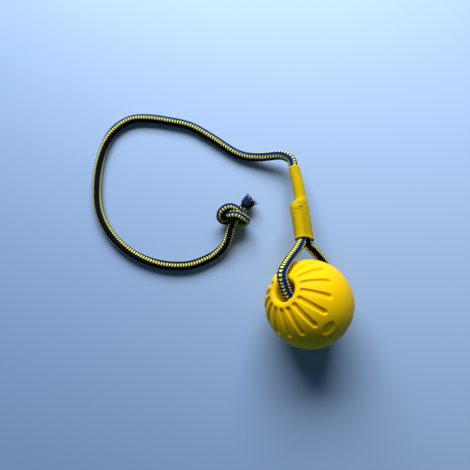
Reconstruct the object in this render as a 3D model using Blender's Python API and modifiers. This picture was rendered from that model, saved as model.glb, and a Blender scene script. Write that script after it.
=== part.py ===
"""A dog play ball on a rope.

A moulded foam ball is threaded on a doubled rope. A seizing thread binds the
two rope parts, a shrunk sleeve covers the binding, and the rope's free end
carries an overhand stopper knot and a frayed tail. Metres, +Z up. The table
is at height zero, and the toy lies as it does in the photograph.
"""
from math import atan2, ceil, cos, pi, radians, sin, sqrt

import bmesh
import bpy
import numpy as np
from mathutils import Matrix, Vector

# The ball
BALL_DIAMETER = 0.070
BORE_DIAMETER = 0.017
MOUTH_ROUNDING = 0.003
SEAM_HEIGHT = 0.0002
SEAM_WIDTH = 0.0014
GROOVE_COUNT = 16
GROOVE_WIDTH = 0.0041
GROOVE_DEPTH = 0.0017
GROOVE_INNER_ANGLE = radians(26.5)
GROOVE_OUTER_ANGLE = radians(60)
FRONT_GROOVE_TURN = radians(-30)
DIMPLE_LENGTH = 0.013
DIMPLE_WIDTH = 0.0095
DIMPLE_DEPTH = 0.0009
DIMPLE_POLAR = radians(77)
DIMPLE_TURN = radians(-113)

# The rope
ROPE_DIAMETER = 0.008
BOUND_ROPE_DIAMETER = 0.0072
CUT_END_DIAMETER = 0.0074
CORE_DIAMETER = 0.0066
LEAST_SELF_GAP = 0.0005
FIT_GAP = 0.0003
ROUTE_SPACING = 0.0038

# The sleeve and the thread under it
SLEEVE_LENGTH = 0.069
SLEEVE_WALL = 0.0005
SLEEVE_BEND = 0.0020
SHORT_END_HEIGHT = 0.0265
SHORT_END_RISE = 0.0009
SLEEVE_STEP_RUN = 0.009
THREAD_DIAMETER = 0.0005
THREAD_PITCH = 0.0012
THREAD_TURNS = 14
THREAD_START = 0.0025

# The lie of the toy on the table
BALL_BACK = 0.04235
BORE_TILT = radians(46.5)
BORE_AZIMUTH = radians(157)
CROTCH_REACH = 0.0166
CROTCH_AZIMUTH = radians(92)
CROTCH_DIP = radians(2.5)
SLEEVE_AZIMUTH = radians(95)
SLEEVE_DIP = radians(11.5)
SLEEVE_BEND_TURN = radians(-46)

# The free rope's route on the table, from the sleeve to the knot
LEAD_ROUTE = [
    (-0.0081, 0.0830, 0.0154), (-0.0134, 0.0871, 0.0140), (-0.0194, 0.0889, 0.0122),
    (-0.0263, 0.0887, 0.0102), (-0.0333, 0.0887, 0.0080), (-0.0404, 0.0892, 0.0062),
    (-0.0476, 0.0902, 0.0048), (-0.0548, 0.0924, 0.0041), (-0.0629, 0.0967, 0.0040),
    (-0.0812, 0.1091, 0.0040), (-0.0996, 0.1196, 0.0040), (-0.1180, 0.1241, 0.0040),
    (-0.1365, 0.1268, 0.0040), (-0.1548, 0.1253, 0.0040), (-0.1703, 0.1134, 0.0040),
    (-0.1790, 0.0924, 0.0040), (-0.1819, 0.0671, 0.0040), (-0.1788, 0.0404, 0.0040),
    (-0.1673, 0.0184, 0.0040), (-0.1478, 0.0015, 0.0040), (-0.1235, -0.0077, 0.0040),
    (-0.0983, -0.0085, 0.0040), (-0.0785, -0.0010, 0.0040), (-0.0714, 0.0043, 0.0050),
]

# The knot
KNOT_PLACE = (-0.0600, 0.0335)
KNOT_SELF_GAP = 0.0006
KNOT_SPACING_SHARE = 0.25
KNOT_BEND_SHARE = 0.54
KNOT_PRESSED_SHARE = 0.86
KNOT_TAPER_STEPS = 7
KNOT_ROUNDS = 300
KNOT_FIXED_ENDS = 3
# Places along the knot in rope diameters, from the free rope to the tail
KNOT_ROUTE_SHARES = [
    (-0.80, -2.86, -0.55), (-0.50, -2.20, -0.50), (-0.24, -1.50, -0.38), (-0.02, -0.90, -0.12),
    (0.25, -0.35, 0.02), (0.70, 0.06, 0.02), (0.92, 0.36, 0.15), (0.52, 0.58, 0.22),
    (-0.05, 0.60, 0.38), (-0.62, 0.56, 0.78), (-1.16, 0.34, 0.80), (-1.40, -0.02, 0.15),
    (-1.10, -0.34, -0.50), (-0.50, -0.44, -0.88), (0.20, -0.50, -0.98), (0.90, -0.54, -0.88),
    (1.34, -0.50, -0.40), (1.36, -0.44, 0.30), (1.00, -0.32, 0.82), (0.42, -0.06, 1.02),
    (-0.15, 0.24, 0.95), (-0.62, 0.40, 0.50), (-0.70, 0.46, -0.05), (-0.25, 0.56, -0.46),
    (0.30, 0.66, -0.56), (0.80, 0.86, -0.54), (1.20, 1.22, -0.48),
]

# The short end in the sleeve, as shares of its height, its rise and its swelling to the cut end
SHORT_END_SHARES = [(1, 1, 1), (0.92, 0.85, 1), (0.8, 0.1, 0), (0.6, 0, 0), (0.3, 0, 0),
                    (0.1, 0, 0), (0, 0, 0), (-0.1, 0, 0)]
# The standing part, as shares of the sleeve's length and of its swelling above the binding
STANDING_SHARES = [(-0.075, 0), (0, 0), (0.05, 0), (0.2, 0), (0.34, 0), (0.46, 0), (0.56, 1),
                   (0.7, 1), (0.85, 1), (1, 1)]
# The film over the short end's rise, then down its step, as shares of the run and the spread
FILM_RISE_SHARES = [0.35, 0.7, 1]
FILM_STEP_SHARES = [(0.15, 0.93), (0.35, 0.7), (0.6, 0.3), (0.85, 0.06), (1, 0.01)]

# The loop round and through the ball, from the short end's leg to the standing part's.
# A leg has angles in degrees from the bore, and stand-offs as shares of the crotch's reach.
FRONT_LEG_SHARES = [(65.5, 0.50), (59.5, 0.31), (53, 0.19), (44, 0.09), (34, 0.03)]
MOUTH_ANGLES = [24, -5, -30, -50]
# Shares of the ball's radius along the bore, and of the rope's free swing across it
BORE_SHARES = [(0.87, 0.15), (0.74, -0.62), (0.55, -0.93), (0.25, -1), (0, -0.95),
               (-0.25, -1), (-0.55, -0.93), (-0.74, -0.62), (-0.87, 0.15)]
BACK_LEG_SHARES = [(33, 0.08), (45, 0.13), (56, 0.20), (67, 0.28), (79, 0.32), (90, 0.40),
                   (97, 0.52)]

# The frayed tail
TAIL_LENGTH = 0.0075
TAIL_SWELL_HEIGHT = 0.0015
TAIL_SWELL_DIAMETER = 0.0098
TAIL_END_DIAMETER = 0.0116
STRAND_LENGTH = 0.0035
STRAND_DIAMETER = 0.0008
STRAND_ROOT_DEPTH = 0.0006
STRAND_RING_SHARES = [(0.0, 1), (0.42, 6), (0.82, 11)]
STRAND_SPLAY = radians(26)

# Facets
LEAD_SPACING = 0.016
TAIL_STEPS = 14
BALL_STEPS = 56
SINGLE_FILM_STEPS = 6
SPHERE_STEP = radians(7.5)
ROUNDING_STEPS = 4
BORE_WALL_STEPS = 3
MERGE_DISTANCE = 0.000006

BALL_RADIUS = BALL_DIAMETER / 2
ROPE_RADIUS = ROPE_DIAMETER / 2
PRESSED_RADIUS = ROPE_RADIUS * KNOT_PRESSED_SHARE
BOUND_RADIUS = BOUND_ROPE_DIAMETER / 2
PAIR_SPREAD = BOUND_ROPE_DIAMETER + LEAST_SELF_GAP
THREAD_RIDE = BOUND_RADIUS + FIT_GAP + THREAD_DIAMETER / 2
SLEEVE_PAIR_RADIUS = THREAD_RIDE + THREAD_DIAMETER / 2 + FIT_GAP + SLEEVE_WALL
SLEEVE_SINGLE_RADIUS = ROPE_RADIUS + FIT_GAP + SLEEVE_WALL


def clear_scene():
    for item in list(bpy.data.objects):
        bpy.data.objects.remove(item, do_unlink=True)


def new_collection(name):
    collection = bpy.data.collections.new(name)
    bpy.context.scene.collection.children.link(collection)
    return collection


def new_material(name, colour, roughness, metallic=0.0):
    material = bpy.data.materials.new(name)
    material.use_nodes = True
    shader = material.node_tree.nodes["Principled BSDF"]
    shader.inputs["Base Color"].default_value = (*colour, 1.0)
    shader.inputs["Roughness"].default_value = roughness
    shader.inputs["Metallic"].default_value = metallic
    material.diffuse_color = (*colour, 1.0)
    return material


def add_object(name, data, parent=None, material=None, collection=None):
    item = bpy.data.objects.new(name, data)
    (collection or PARTS).objects.link(item)
    item.parent = parent
    if material:
        data.materials.clear()
        data.materials.append(material)
    return item


def add_empty(name, matrix):
    empty = add_object(name, None)
    empty.matrix_basis = matrix
    return empty


def axes_matrix(origin, x_axis, y_axis, z_axis):
    turn = Matrix((x_axis, y_axis, z_axis)).transposed().to_4x4()
    return Matrix.Translation(origin) @ turn


def direction(azimuth, elevation):
    return Vector((cos(elevation) * cos(azimuth), cos(elevation) * sin(azimuth), sin(elevation)))


def even_route(points, spacing):
    """A smooth curve through the points, as points of even spacing."""
    p = np.array(points, float)
    padded = np.vstack([2 * p[0] - p[1], p, 2 * p[-1] - p[-2]])
    steps = np.linspace(0, 1, 12, endpoint=False)[:, None]
    pieces = []
    for k in range(len(p) - 1):
        a, b, c, d = padded[k:k + 4]
        pieces.append(0.5 * (2 * b + (c - a) * steps + (2 * a - 5 * b + 4 * c - d) * steps ** 2
                             + (3 * b - a - 3 * c + d) * steps ** 3))
    curve = np.vstack(pieces + [p[-1:]])
    runs = np.linalg.norm(np.diff(curve[:, :3], axis=0), axis=1)
    along = np.concatenate([[0], np.cumsum(runs)])
    count = max(2, int(round(along[-1] / spacing)) + 1)
    places = np.linspace(0, along[-1], count)
    columns = [np.interp(places, along, curve[:, k]) for k in range(curve.shape[1])]
    return np.stack(columns, axis=1)


def print_self_gap(name, points, radii):
    """Prints the least gap between stretches that lie more than half a turn apart."""
    points, radii = np.array(points), np.array(radii)
    spacing = np.linalg.norm(np.diff(points, axis=0), axis=1).mean()
    near = int(ceil(pi * radii.max() / spacing)) + 1
    first, second = np.triu_indices(len(points), near)
    apart = np.linalg.norm(points[second] - points[first], axis=1)
    gap = (apart - radii[first] - radii[second]).min()
    print(f"{name}: least gap to itself {gap * 1000:.2f} mm")


def tube_mesh(name, points, radii, resolution):
    """A closed tube along the points, from a curve with a round bevel and filled caps."""
    curve = bpy.data.curves.new(name + "_route", "CURVE")
    curve.dimensions = "3D"
    curve.bevel_depth = max(radii)
    curve.bevel_resolution = resolution
    curve.use_fill_caps = True
    line = curve.splines.new("POLY")
    line.points.add(len(points) - 1)
    for point, place, radius in zip(line.points, points, radii):
        point.co = (*place, 1.0)
        point.radius = radius / curve.bevel_depth
    helper = bpy.data.objects.new(name + "_helper", curve)
    bpy.context.scene.collection.objects.link(helper)
    mesh = bpy.data.meshes.new_from_object(helper)
    bpy.data.objects.remove(helper, do_unlink=True)
    mesh.name = name
    merge_points(mesh)
    return mesh


def merge_points(mesh):
    shape = bmesh.new()
    shape.from_mesh(mesh)
    bmesh.ops.remove_doubles(shape, verts=shape.verts, dist=MERGE_DISTANCE)
    bmesh.ops.recalc_face_normals(shape, faces=shape.faces)
    shape.to_mesh(mesh)
    shape.free()
    mesh.shade_smooth()


def join_meshes(name, meshes):
    shape = bmesh.new()
    for mesh in meshes:
        shape.from_mesh(mesh)
    joined = bpy.data.meshes.new(name)
    shape.to_mesh(joined)
    shape.free()
    return joined


def add_cut(item, cutter, operation="DIFFERENCE"):
    cut = item.modifiers.new(cutter.name, "BOOLEAN")
    cut.object = cutter
    cut.operation = operation
    cut.solver = "EXACT"


def as_cutter(name, mesh, parent):
    cutter = add_object(name, mesh, parent, collection=CUTTERS)
    cutter.hide_render = True
    cutter.display_type = "WIRE"
    return cutter


def ball_frame():
    """The ball's frame: its Z lies along the bore, towards the mouth seen from above."""
    bore = direction(BORE_AZIMUTH, pi / 2 - BORE_TILT)
    level = bore.cross(Vector((0, 0, 1))).normalized()
    return axes_matrix(Vector((0, -BALL_BACK, BALL_RADIUS)), level, bore.cross(level), bore)


def ball_profile():
    """The ball's section beside the bore, from the upper mouth down the outside."""
    reach = BORE_DIAMETER / 2 + MOUTH_ROUNDING
    height = sqrt((BALL_RADIUS - MOUTH_ROUNDING) ** 2 - reach ** 2)
    polar = atan2(reach, height)
    upper = []
    for k in range(ROUNDING_STEPS + 1):
        angle = pi + (pi / 2 - polar - pi) * k / ROUNDING_STEPS
        upper.append((reach + MOUTH_ROUNDING * cos(angle), height + MOUTH_ROUNDING * sin(angle)))
    seam_polar = pi / 2 - SEAM_WIDTH / BALL_DIAMETER
    count = round((seam_polar - polar) / SPHERE_STEP)
    for k in range(1, count + 1):
        angle = polar + (seam_polar - polar) * k / count
        upper.append((BALL_RADIUS * sin(angle), BALL_RADIUS * cos(angle)))
    upper.append((BALL_RADIUS + SEAM_HEIGHT, SEAM_WIDTH / 4))
    lower = [(x, -z) for x, z in reversed(upper)]
    wall = [(BORE_DIAMETER / 2, -height + 2 * height * k / BORE_WALL_STEPS)
            for k in range(1, BORE_WALL_STEPS)]
    return upper + lower + wall


def profile_mesh(name, points):
    mesh = bpy.data.meshes.new(name)
    edges = [(k, (k + 1) % len(points)) for k in range(len(points))]
    mesh.from_pydata([(x, 0, z) for x, z in points], edges, [])
    return mesh


def spin_profile(item, steps):
    screw = item.modifiers.new("turned", "SCREW")
    screw.axis = "Z"
    screw.steps = steps
    screw.render_steps = steps
    screw.use_merge_vertices = True
    screw.merge_threshold = MERGE_DISTANCE
    screw.use_smooth_shade = True


def groove_mesh(name):
    """One groove's cutter: a round bar along a meridian, with rounded ends."""
    half = GROOVE_WIDTH / 2
    radius = (half ** 2 + GROOVE_DEPTH ** 2) / (2 * GROOVE_DEPTH)
    ride = sqrt(BALL_RADIUS ** 2 - half ** 2) + radius - GROOVE_DEPTH
    middle = [GROOVE_INNER_ANGLE + (GROOVE_OUTER_ANGLE - GROOVE_INNER_ANGLE) * k / 6
              for k in range(7)]
    ends = [pi / 2 * share for share in (0.33, 0.62, 0.88)]
    angles = [middle[0] - radius * sin(a) / ride for a in reversed(ends)]
    radii = [radius * cos(a) for a in reversed(ends)]
    angles += middle + [middle[-1] + radius * sin(a) / ride for a in ends]
    radii += [radius] * len(middle) + [radius * cos(a) for a in ends]
    points = [(ride * sin(a), 0, ride * cos(a)) for a in angles]
    return tube_mesh(name, points, radii, 2)


def groove_ring(name, first_turn, side):
    meshes = []
    for k in range(GROOVE_COUNT):
        mesh = groove_mesh(f"{name}_{k}")
        mesh.transform(Matrix.Rotation(first_turn - 2 * pi * k / GROOVE_COUNT, 4, "Z"))
        if side < 0:
            mesh.transform(Matrix.Diagonal((1, 1, -1, 1)))
            mesh.flip_normals()
        meshes.append(mesh)
    return join_meshes(name, meshes)


def dimple_mesh(name):
    """A plain oval hollow beside the seam."""
    shape = bmesh.new()
    bmesh.ops.create_uvsphere(shape, u_segments=20, v_segments=10, radius=1)
    # The ellipsoid is half sunk by the share that leaves the wanted depth and outline.
    sunk_share = 0.4
    height = DIMPLE_DEPTH / sunk_share
    rim_share = sqrt(1 - (1 - sunk_share) ** 2)
    size = Vector((height, DIMPLE_LENGTH / 2 / rim_share, DIMPLE_WIDTH / 2 / rim_share))
    bmesh.ops.scale(shape, vec=size, verts=shape.verts)
    bmesh.ops.translate(shape, vec=(BALL_RADIUS + height - DIMPLE_DEPTH, 0, 0), verts=shape.verts)
    turn = Matrix.Rotation(DIMPLE_TURN, 4, "Z") @ Matrix.Rotation(DIMPLE_POLAR - pi / 2, 4, "Y")
    bmesh.ops.transform(shape, matrix=turn, verts=shape.verts)
    mesh = bpy.data.meshes.new(name)
    shape.to_mesh(mesh)
    shape.free()
    return mesh


def make_ball(axle):
    ball = add_object("ball", profile_mesh("ball", ball_profile()), axle, BALL_FOAM)
    spin_profile(ball, BALL_STEPS)
    front = as_cutter("front_grooves", groove_ring("front_grooves", FRONT_GROOVE_TURN, 1), axle)
    # The ball rests on the land between two of the back grooves.
    back_turn = pi / 2 + pi / GROOVE_COUNT
    back = as_cutter("back_grooves", groove_ring("back_grooves", back_turn, -1), axle)
    dimple = as_cutter("seam_dimple", dimple_mesh("seam_dimple"), axle)
    add_cut(ball, front)
    add_cut(ball, back)
    add_cut(ball, dimple)
    return ball


def crotch_frame():
    """The plane of the loop round the ball, and the place where the two rope parts meet."""
    ball = ball_frame()
    centre = ball.translation
    bore = ball.to_3x3().col[2]
    outward = direction(CROTCH_AZIMUTH, -CROTCH_DIP)
    across = (outward - bore * bore.dot(outward)).normalized()
    return centre, bore, across, outward


def sleeve_frame():
    """The sleeve's frame: Z runs up along the standing part from the sleeve's lower mouth."""
    centre, bore, across, outward = crotch_frame()
    up = direction(SLEEVE_AZIMUTH, -SLEEVE_DIP)
    beside = (bore - outward * outward.dot(bore)).normalized()
    to_short_end = (beside - up * up.dot(beside)).normalized()
    meet = centre + outward * (BALL_RADIUS + CROTCH_REACH)
    return axes_matrix(meet - to_short_end * PAIR_SPREAD / 2, to_short_end,
                       up.cross(to_short_end), up)


def standing_centre(height):
    """The standing part's centre in the sleeve's frame, which bends above the short end."""
    run = max(0, height - SHORT_END_HEIGHT) / (SLEEVE_LENGTH - SHORT_END_HEIGHT)
    aside = SLEEVE_BEND * run ** 2
    return Vector((aside * cos(SLEEVE_BEND_TURN), aside * sin(SLEEVE_BEND_TURN), height))


def loop_plane_points():
    """The rope round and through the ball, from the short end's leg to the standing part's.

    The legs lie at a stand-off from the ball, in the plane of the bore and the
    sleeve's mouth, and the rope swings across the bore between its two mouths.
    """
    centre, bore, across, outward = crotch_frame()
    contact = BALL_RADIUS + ROPE_RADIUS + FIT_GAP
    reach = BORE_DIAMETER / 2 + MOUTH_ROUNDING
    height = sqrt((BALL_RADIUS - MOUTH_ROUNDING) ** 2 - reach ** 2)
    corner = MOUTH_ROUNDING + ROPE_RADIUS + 2 * FIT_GAP
    swing = BORE_DIAMETER / 2 - ROPE_RADIUS - 2 * FIT_GAP
    points = []
    for angle, stand_off_share in FRONT_LEG_SHARES:
        ride = contact + stand_off_share * CROTCH_REACH
        points.append((ride * cos(radians(angle)), ride * sin(radians(angle))))
    for angle in MOUTH_ANGLES:
        points.append((height + corner * cos(radians(angle)), reach + corner * sin(radians(angle))))
    for along_share, swing_share in BORE_SHARES:
        points.append((along_share * BALL_RADIUS, swing_share * swing))
    for angle in reversed(MOUTH_ANGLES):
        points.append((-height - corner * cos(radians(angle)), reach + corner * sin(radians(angle))))
    for angle, stand_off_share in BACK_LEG_SHARES:
        ride = contact + stand_off_share * CROTCH_REACH
        points.append((-ride * cos(radians(angle)), ride * sin(radians(angle))))
    return [centre + bore * x + across * y for x, y in points]


def rope_loop_route():
    """Places and radii from the short end in the sleeve to the sleeve's upper mouth."""
    frame = sleeve_frame()
    short_end = []
    for height_share, rise_share, cut_share in SHORT_END_SHARES:
        place = Vector((PAIR_SPREAD + rise_share * SHORT_END_RISE, 0, height_share * SHORT_END_HEIGHT))
        radius = BOUND_RADIUS + cut_share * (CUT_END_DIAMETER / 2 - BOUND_RADIUS)
        short_end.append((*(frame @ place), radius))
    loop = [(*place, ROPE_RADIUS) for place in loop_plane_points()]
    standing = []
    for height_share, free_share in STANDING_SHARES:
        place = standing_centre(height_share * SLEEVE_LENGTH)
        radius = BOUND_RADIUS + free_share * (ROPE_RADIUS - BOUND_RADIUS)
        standing.append((*(frame @ place), radius))
    end = standing_centre(SLEEVE_LENGTH)
    onward = (end - standing_centre(SLEEVE_LENGTH - ROPE_DIAMETER)).normalized()
    standing.append((*(frame @ (end + onward * FIT_GAP)), ROPE_RADIUS))
    route = even_route(short_end + loop + standing, ROUTE_SPACING)
    return route[:, :3], route[:, 3]


def make_rope_loop():
    points, radii = rope_loop_route()
    print_self_gap("rope_loop", points, radii)
    return add_object("rope_loop", tube_mesh("rope_loop", points, radii, 4), None, ROPE)


def stadium_ring(radius, spread, count):
    """Places round two equal circles and the flats between them."""
    ring = []
    for side, middle in ((spread, 0), (0, pi)):
        for k in range(count):
            angle = middle - pi / 2 + pi * k / (count - 1)
            ring.append((side + radius * cos(angle), radius * sin(angle)))
    return ring


def sleeve_sections():
    """Height, spread and radius up the sleeve: two ropes, then the step down to one."""
    rise = PAIR_SPREAD + SHORT_END_RISE
    end = SHORT_END_HEIGHT + FIT_GAP + SLEEVE_WALL
    flat = SHORT_END_HEIGHT - SLEEVE_STEP_RUN
    sections = [(0, PAIR_SPREAD, SLEEVE_PAIR_RADIUS), (flat / 2, PAIR_SPREAD, SLEEVE_PAIR_RADIUS),
                (flat, PAIR_SPREAD, SLEEVE_PAIR_RADIUS)]
    for share in FILM_RISE_SHARES:
        spread = PAIR_SPREAD + SHORT_END_RISE * share
        sections.append((flat + (end - flat) * share, spread, SLEEVE_PAIR_RADIUS))
    for share, spread_share in FILM_STEP_SHARES:
        radius = SLEEVE_PAIR_RADIUS + (SLEEVE_SINGLE_RADIUS - SLEEVE_PAIR_RADIUS) * share
        sections.append((end + SLEEVE_STEP_RUN * share, rise * spread_share, radius))
    top = end + SLEEVE_STEP_RUN
    for k in range(1, SINGLE_FILM_STEPS + 1):
        height = top + (SLEEVE_LENGTH - top) * k / SINGLE_FILM_STEPS
        sections.append((height, 0, SLEEVE_SINGLE_RADIUS))
    return sections


def make_sleeve(frame):
    """A thin skin lofted over the sections. Its faces look outwards, and it thickens inwards."""
    sections = sleeve_sections()
    half = 12
    shape = bmesh.new()
    bmesh.ops.create_grid(shape, x_segments=2 * half, y_segments=len(sections) - 1, size=1)
    shape.verts.ensure_lookup_table()
    columns = 2 * half + 1
    for row, (height, spread, radius) in enumerate(sections):
        ring = stadium_ring(radius, spread, half)
        middle = standing_centre(height)
        for column in range(columns):
            x, y = ring[column % (2 * half)]
            shape.verts[row * columns + column].co = middle + Vector((x, y, 0))
    bmesh.ops.remove_doubles(shape, verts=shape.verts, dist=MERGE_DISTANCE)
    mesh = bpy.data.meshes.new("binding_sleeve")
    shape.to_mesh(mesh)
    shape.free()
    mesh.shade_smooth()
    sleeve = add_object("binding_sleeve", mesh, frame, SLEEVE_FILM)
    skin = sleeve.modifiers.new("film", "SOLIDIFY")
    skin.thickness = SLEEVE_WALL
    skin.offset = -1
    skin.use_even_offset = True
    return sleeve


def thread_route():
    """One unbroken winding round both rope parts."""
    half = 7
    ring = stadium_ring(THREAD_RIDE, PAIR_SPREAD, half)
    points = []
    for k in range(THREAD_TURNS * len(ring) + 1):
        x, y = ring[k % len(ring)]
        points.append((x, y, THREAD_START + THREAD_PITCH * k / len(ring)))
    return np.array(points)


def make_thread(frame):
    points = thread_route()
    radii = [THREAD_DIAMETER / 2] * len(points)
    print_self_gap("seizing_thread", points, radii)
    return add_object("seizing_thread", tube_mesh("seizing_thread", points, radii, 1), frame, THREAD)


def knot_route():
    """The knot's centre line in rope diameters, laid from the chosen places.

    Each round evens the points, opens bends that are too sharp and parts
    strands that are closer than the pressed rope and its gap.
    """
    points = even_route(KNOT_ROUTE_SHARES, KNOT_SPACING_SHARE)
    least = KNOT_PRESSED_SHARE + KNOT_SELF_GAP / ROPE_DIAMETER
    near = int(ceil(pi * least / 2 / KNOT_SPACING_SHARE)) + 1
    first, second = np.triu_indices(len(points), near)
    spacing = np.linalg.norm(np.diff(points, axis=0), axis=1).mean()
    hold = 2 * KNOT_BEND_SHARE * sin(spacing / KNOT_BEND_SHARE)
    free = np.ones((len(points), 1))
    free[:KNOT_FIXED_ENDS] = 0
    free[-KNOT_FIXED_ENDS:] = 0
    for _ in range(KNOT_ROUNDS):
        move = np.zeros_like(points)
        step = points[1:] - points[:-1]
        length = np.linalg.norm(step, axis=1, keepdims=True)
        push = step * (1 - spacing / length) / 4
        move[:-1] += push
        move[1:] -= push
        step = points[2:] - points[:-2]
        length = np.linalg.norm(step, axis=1, keepdims=True)
        push = step * np.minimum(0, 1 - hold / length) / 4
        move[:-2] += push
        move[2:] -= push
        move[1:-1] += (points[2:] + points[:-2] - 2 * points[1:-1]) / 50
        step = points[second] - points[first]
        length = np.linalg.norm(step, axis=1)
        close = length < least
        push = step[close] * ((1 - least / length[close]) / 3)[:, None]
        np.add.at(move, first[close], push)
        np.add.at(move, second[close], -push)
        points = points + move * free
    return points


def knot_matrix(points):
    """Stands the knot's lowest strand on the table."""
    lift = PRESSED_RADIUS - ROPE_DIAMETER * points[:, 2].min()
    return Matrix.Translation((*KNOT_PLACE, lift)) @ Matrix.Scale(ROPE_DIAMETER, 4)


def make_knot():
    """The knot, in which the rope is pressed thinner past its first steps."""
    shares = knot_route()
    place = knot_matrix(shares)
    points = [place @ Vector(share) for share in shares]
    radii = [ROPE_RADIUS * max(KNOT_PRESSED_SHARE, 1 - (1 - KNOT_PRESSED_SHARE) * k / KNOT_TAPER_STEPS)
             for k in range(len(points))]
    print_self_gap("rope_knot", points, radii)
    add_object("rope_knot", tube_mesh("rope_knot", points, radii, 2), None, ROPE)
    return points


def make_lead(knot_points):
    """The free rope, from the sleeve's upper mouth to the knot."""
    frame = sleeve_frame()
    end = standing_centre(SLEEVE_LENGTH)
    onward = (end - standing_centre(SLEEVE_LENGTH - ROPE_DIAMETER)).normalized()
    start = frame @ (end + onward * 2 * FIT_GAP)
    after = frame @ (end + onward * (2 * FIT_GAP + ROPE_RADIUS))
    back = (knot_points[0] - knot_points[1]).normalized()
    stop = knot_points[0] + back * FIT_GAP
    before = stop + back * ROPE_RADIUS
    route = np.vstack([start, even_route([after, *LEAD_ROUTE, before], LEAD_SPACING), stop])
    route[:, 2] = np.maximum(route[:, 2], ROPE_RADIUS)
    radii = [ROPE_RADIUS] * len(route)
    print(f"rope_lead: {np.linalg.norm(np.diff(route, axis=0), axis=1).sum() * 1000:.0f} mm long")
    return add_object("rope_lead", tube_mesh("rope_lead", route, radii, 2), None, ROPE)


def tail_frame(knot_points):
    """Z runs out of the knot along the tail."""
    out = (knot_points[-1] - knot_points[-2]).normalized()
    level = out.cross(Vector((0, 0, 1))).normalized()
    return axes_matrix(knot_points[-1] + out * FIT_GAP, level, out.cross(level), out)


def make_tail(seat):
    """The rope's cover past the knot, cut open at its end."""
    inner = CORE_DIAMETER / 2 + FIT_GAP
    rim = (inner + TAIL_END_DIAMETER / 2) / 2
    profile = [(0, TAIL_SWELL_HEIGHT), (inner, TAIL_SWELL_HEIGHT), (inner, TAIL_LENGTH - FIT_GAP),
               (rim, TAIL_LENGTH), (TAIL_END_DIAMETER / 2, TAIL_LENGTH - FIT_GAP),
               (TAIL_SWELL_DIAMETER / 2, TAIL_SWELL_HEIGHT), (PRESSED_RADIUS, 0), (0, 0)]
    mesh = bpy.data.meshes.new("rope_tail")
    mesh.from_pydata([(x, 0, z) for x, z in profile], [(k, k + 1) for k in range(len(profile) - 1)], [])
    tail = add_object("rope_tail", mesh, seat, ROPE)
    spin_profile(tail, TAIL_STEPS)
    return tail


def strand_mesh(name):
    """The core's loose strands, splayed more towards the outside."""
    shape = bmesh.new()
    root = TAIL_LENGTH - STRAND_ROOT_DEPTH - FIT_GAP
    for ring_share, count in STRAND_RING_SHARES:
        for k in range(count):
            turn = Matrix.Rotation(2 * pi * k / count, 4, "Z")
            ride = Vector((ring_share * (CORE_DIAMETER - STRAND_DIAMETER) / 2, 0, root))
            splay = Matrix.Rotation(ring_share * STRAND_SPLAY, 4, "Y")
            lift = Matrix.Translation((0, 0, STRAND_LENGTH / 2))
            bmesh.ops.create_cone(shape, cap_ends=True, segments=5, radius1=STRAND_DIAMETER / 2,
                                  radius2=STRAND_DIAMETER / 4, depth=STRAND_LENGTH,
                                  matrix=turn @ Matrix.Translation(ride) @ splay @ lift)
    mesh = bpy.data.meshes.new(name)
    shape.to_mesh(mesh)
    shape.free()
    return mesh


def make_core(seat):
    """The core in the cut end, with its strands fused to it."""
    floor = TAIL_SWELL_HEIGHT + FIT_GAP
    top = TAIL_LENGTH - FIT_GAP
    shape = bmesh.new()
    bmesh.ops.create_cone(shape, cap_ends=True, segments=TAIL_STEPS, radius1=CORE_DIAMETER / 2,
                          radius2=CORE_DIAMETER / 2, depth=top - floor,
                          matrix=Matrix.Translation((0, 0, (top + floor) / 2)))
    mesh = bpy.data.meshes.new("rope_core")
    shape.to_mesh(mesh)
    shape.free()
    core = add_object("rope_core", mesh, seat, CORE)
    strands = as_cutter("core_strands", strand_mesh("core_strands"), seat)
    add_cut(core, strands, "UNION")
    return core


clear_scene()
PARTS = new_collection("dog_play_ball")
CUTTERS = new_collection("cutters")
CUTTERS.hide_render = True
BALL_FOAM = new_material("ball_foam", (0.93, 0.61, 0.01), 0.55)
ROPE = new_material("rope", (0.10, 0.11, 0.06), 0.85)
SLEEVE_FILM = new_material("sleeve_film", (0.80, 0.62, 0.01), 0.40)
THREAD = new_material("thread", (0.62, 0.58, 0.45), 0.80)
CORE = new_material("rope_core", (0.02, 0.02, 0.05), 0.90)

make_ball(add_empty("ball_axle", ball_frame()))
make_rope_loop()
sleeve_seat = add_empty("sleeve_seat", sleeve_frame())
make_sleeve(sleeve_seat)
make_thread(sleeve_seat)
knot_line = make_knot()
make_lead(knot_line)
tail_seat = add_empty("tail_seat", tail_frame(knot_line))
make_tail(tail_seat)
make_core(tail_seat)
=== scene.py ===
"""Looks for a dog's foam ball on a striped rope, as it lies on a pale table."""
from math import atan, atan2, cos, pi, radians, sin, sqrt

import bmesh
import bpy
import numpy as np
from mathutils import Matrix, Vector, noise


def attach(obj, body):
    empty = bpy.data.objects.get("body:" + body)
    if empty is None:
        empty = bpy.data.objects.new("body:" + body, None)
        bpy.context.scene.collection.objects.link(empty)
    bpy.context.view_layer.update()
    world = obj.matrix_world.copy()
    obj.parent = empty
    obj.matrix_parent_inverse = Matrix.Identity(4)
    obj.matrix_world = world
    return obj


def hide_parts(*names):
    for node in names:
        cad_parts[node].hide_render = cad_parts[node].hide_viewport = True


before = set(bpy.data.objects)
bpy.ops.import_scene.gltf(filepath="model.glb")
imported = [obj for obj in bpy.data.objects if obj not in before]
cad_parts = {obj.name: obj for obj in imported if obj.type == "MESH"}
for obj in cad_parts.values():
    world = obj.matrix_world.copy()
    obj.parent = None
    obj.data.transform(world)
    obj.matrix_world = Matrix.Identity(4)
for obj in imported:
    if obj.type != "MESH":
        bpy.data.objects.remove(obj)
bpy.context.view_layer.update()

# The ball, in metres, as in the model
BALL_DIAMETER = 0.070
BORE_DIAMETER = 0.017
MOUTH_ROUNDING = 0.003
GROOVE_COUNT = 16
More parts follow.
